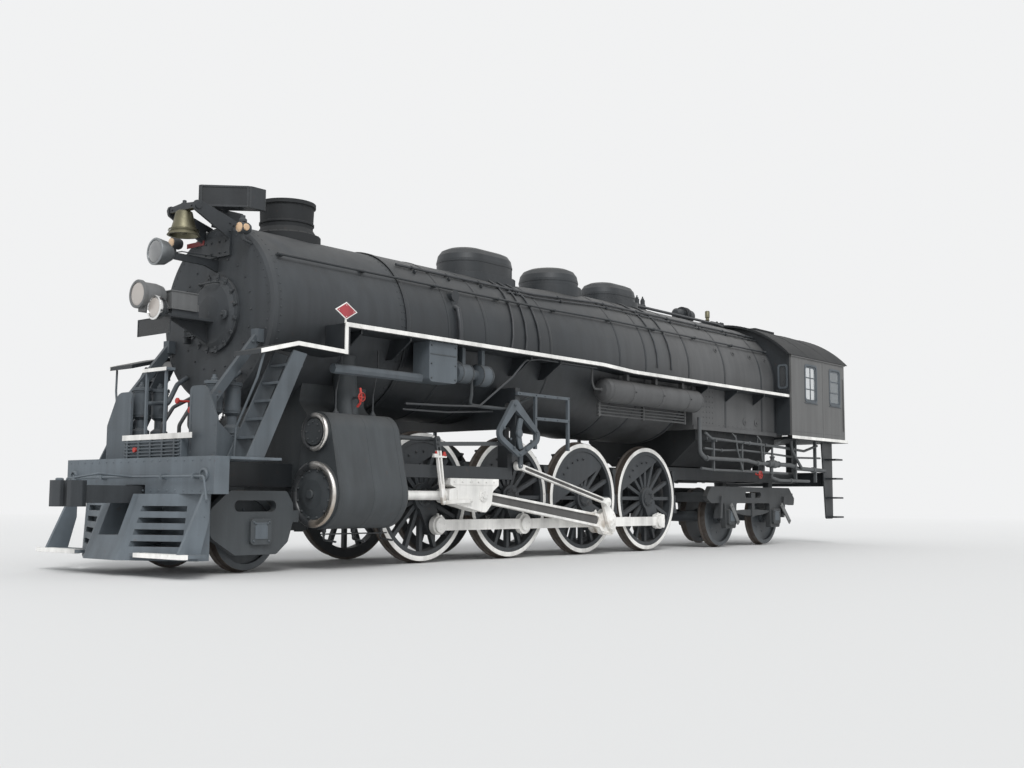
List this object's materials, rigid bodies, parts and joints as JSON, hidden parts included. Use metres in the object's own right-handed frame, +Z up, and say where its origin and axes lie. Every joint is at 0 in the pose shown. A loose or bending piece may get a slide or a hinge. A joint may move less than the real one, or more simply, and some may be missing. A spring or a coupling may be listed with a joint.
{
  "type": "steam locomotive, 2-8-4 engine without tender",
  "caption": "Full-size standard-gauge steam locomotive with coupled driving wheels, leading and trailing trucks, boiler, enclosed cab and white-lined running gear.",
  "frame": {"origin": "centre of the overall length and width, in the plane of the wheel flange tips, 27 mm below the top of the rail", "axes": "+X forward to the smokebox end, +Y to the left side, +Z up"},
  "size_m": [17.28, 3.24, 4.757],
  "materials": {
    "black_paint": "satin, weathered",
    "graphite_paint": "matt, weathered",
    "slate_paint": "matt, weathered",
    "white_paint": "satin",
    "bright_steel": "machined",
    "bell_bronze": "dull, weathered",
    "red_paint": "satin",
    "lamp_glass": "clear",
    "floor_wood": "oiled boards"
  },
  "bodies": {
    "engine": {"air_pumps": "slate_paint", "air_reservoirs": "black_paint", "ash_pan": "black_paint", "backhead_fittings": "black_paint", "bell_stand": "black_paint", "boiler_barrel": "black_paint", "boiler_fittings": "black_paint", "brake_rigging": "black_paint", "cab_floor": "floor_wood", "cab_front": "black_paint", "cab_roof": "black_paint", "cab_sides": "black_paint", "cab_steps": "black_paint", "crosshead_guides": "black_paint", "crossheads": "white_paint", "cylinders": "black_paint", "domes": "black_paint", "driving_springs": "black_paint", "eccentric_rods": "white_paint", "firebox": "black_paint", "front_coupler": "slate_paint", "front_deck": "slate_paint", "front_ladders": "slate_paint", "handrails": "black_paint", "main_frame": "black_paint", "main_rods": "white_paint", "number_board": "black_paint", "pilot": "slate_paint", "pump_shields": "slate_paint", "rear_drawbar": "black_paint", "running_boards": "black_paint", "side_equipment": "black_paint", "smokebox": "graphite_paint", "smokebox_braces": "slate_paint", "stack": "black_paint", "valve_gear": "black_paint", "valve_rods": "white_paint"},
    "driver_1": {"driver_1": "black_paint"},
    "driver_2": {"driver_2": "black_paint"},
    "driver_3": {"driver_3": "black_paint"},
    "driver_4": {"driver_4": "black_paint"},
    "side_rod_left": {"side_rod_left": "white_paint"},
    "side_rod_right": {"side_rod_right": "white_paint"},
    "lead_truck": {"lead_truck": "black_paint"},
    "lead_wheels": {"lead_wheels": "slate_paint"},
    "trailing_truck": {"trailing_truck": "black_paint"},
    "trailing_wheels_1": {"trailing_wheels_1": "slate_paint"},
    "trailing_wheels_2": {"trailing_wheels_2": "slate_paint"},
    "smokebox_door": {"smokebox_door": "graphite_paint", "headlight": "graphite_paint"},
    "bell": {"bell": "bell_bronze"}
  },
  "joints": [
    {"name": "driver_3_spin", "type": "hinge", "parent": "engine", "child": "driver_3", "pos_m": [0, 0, 0.9035], "axis": [0, 1, 0], "continuous": true},
    {"name": "driver_1_spin", "type": "hinge", "parent": "engine", "child": "driver_1", "pos_m": [3.708, 0, 0.9035], "axis": [0, 1, 0], "continuous": true},
    {"name": "driver_2_spin", "type": "hinge", "parent": "engine", "child": "driver_2", "pos_m": [1.854, 0, 0.9035], "axis": [0, 1, 0], "continuous": true},
    {"name": "driver_4_spin", "type": "hinge", "parent": "engine", "child": "driver_4", "pos_m": [-1.854, 0, 0.9035], "axis": [0, 1, 0], "continuous": true},
    {"name": "side_rod_left_pin", "type": "hinge", "parent": "driver_3", "child": "side_rod_left", "pos_m": [-0.18938, 0.925, 0.51522], "axis": [0, 1, 0], "continuous": true},
    {"name": "side_rod_right_pin", "type": "hinge", "parent": "driver_3", "child": "side_rod_right", "pos_m": [0.38828, -0.925, 0.71412], "axis": [0, 1, 0], "continuous": true},
    {"name": "lead_truck_swing", "type": "hinge", "parent": "engine", "child": "lead_truck", "pos_m": [5.2, 0, 0.52], "axis": [0, 0, 1], "range_deg": [-4, 4]},
    {"name": "lead_wheels_spin", "type": "hinge", "parent": "lead_truck", "child": "lead_wheels", "pos_m": [6.68, 0, 0.484], "axis": [0, 1, 0], "continuous": true},
    {"name": "trailing_truck_swing", "type": "hinge", "parent": "engine", "child": "trailing_truck", "pos_m": [-3.06, 0, 0.96], "axis": [0, 0, 1], "range_deg": [-3, 3]},
    {"name": "trailing_wheels_1_spin", "type": "hinge", "parent": "trailing_truck", "child": "trailing_wheels_1", "pos_m": [-4.344, 0, 0.573], "axis": [0, 1, 0], "continuous": true},
    {"name": "trailing_wheels_2_spin", "type": "hinge", "parent": "trailing_truck", "child": "trailing_wheels_2", "pos_m": [-6.122, 0, 0.573], "axis": [0, 1, 0], "continuous": true},
    {"name": "smokebox_door_swing", "type": "hinge", "parent": "engine", "child": "smokebox_door", "pos_m": [6.66, -0.54, 3.147], "axis": [0, 0, -1], "range_deg": [0, 110]},
    {"name": "bell_swing", "type": "hinge", "parent": "engine", "child": "bell", "pos_m": [7.11, 0, 4.397], "axis": [0, 1, 0], "range_deg": [-35, 35]}
  ],
  "couplings": [
    {"joint": "driver_1_spin", "follows": "driver_3_spin", "ratio": 1},
    {"joint": "driver_2_spin", "follows": "driver_3_spin", "ratio": 1},
    {"joint": "driver_4_spin", "follows": "driver_3_spin", "ratio": 1},
    {"joint": "side_rod_left_pin", "follows": "driver_3_spin", "ratio": -1},
    {"joint": "side_rod_right_pin", "follows": "driver_3_spin", "ratio": -1}
  ]
}
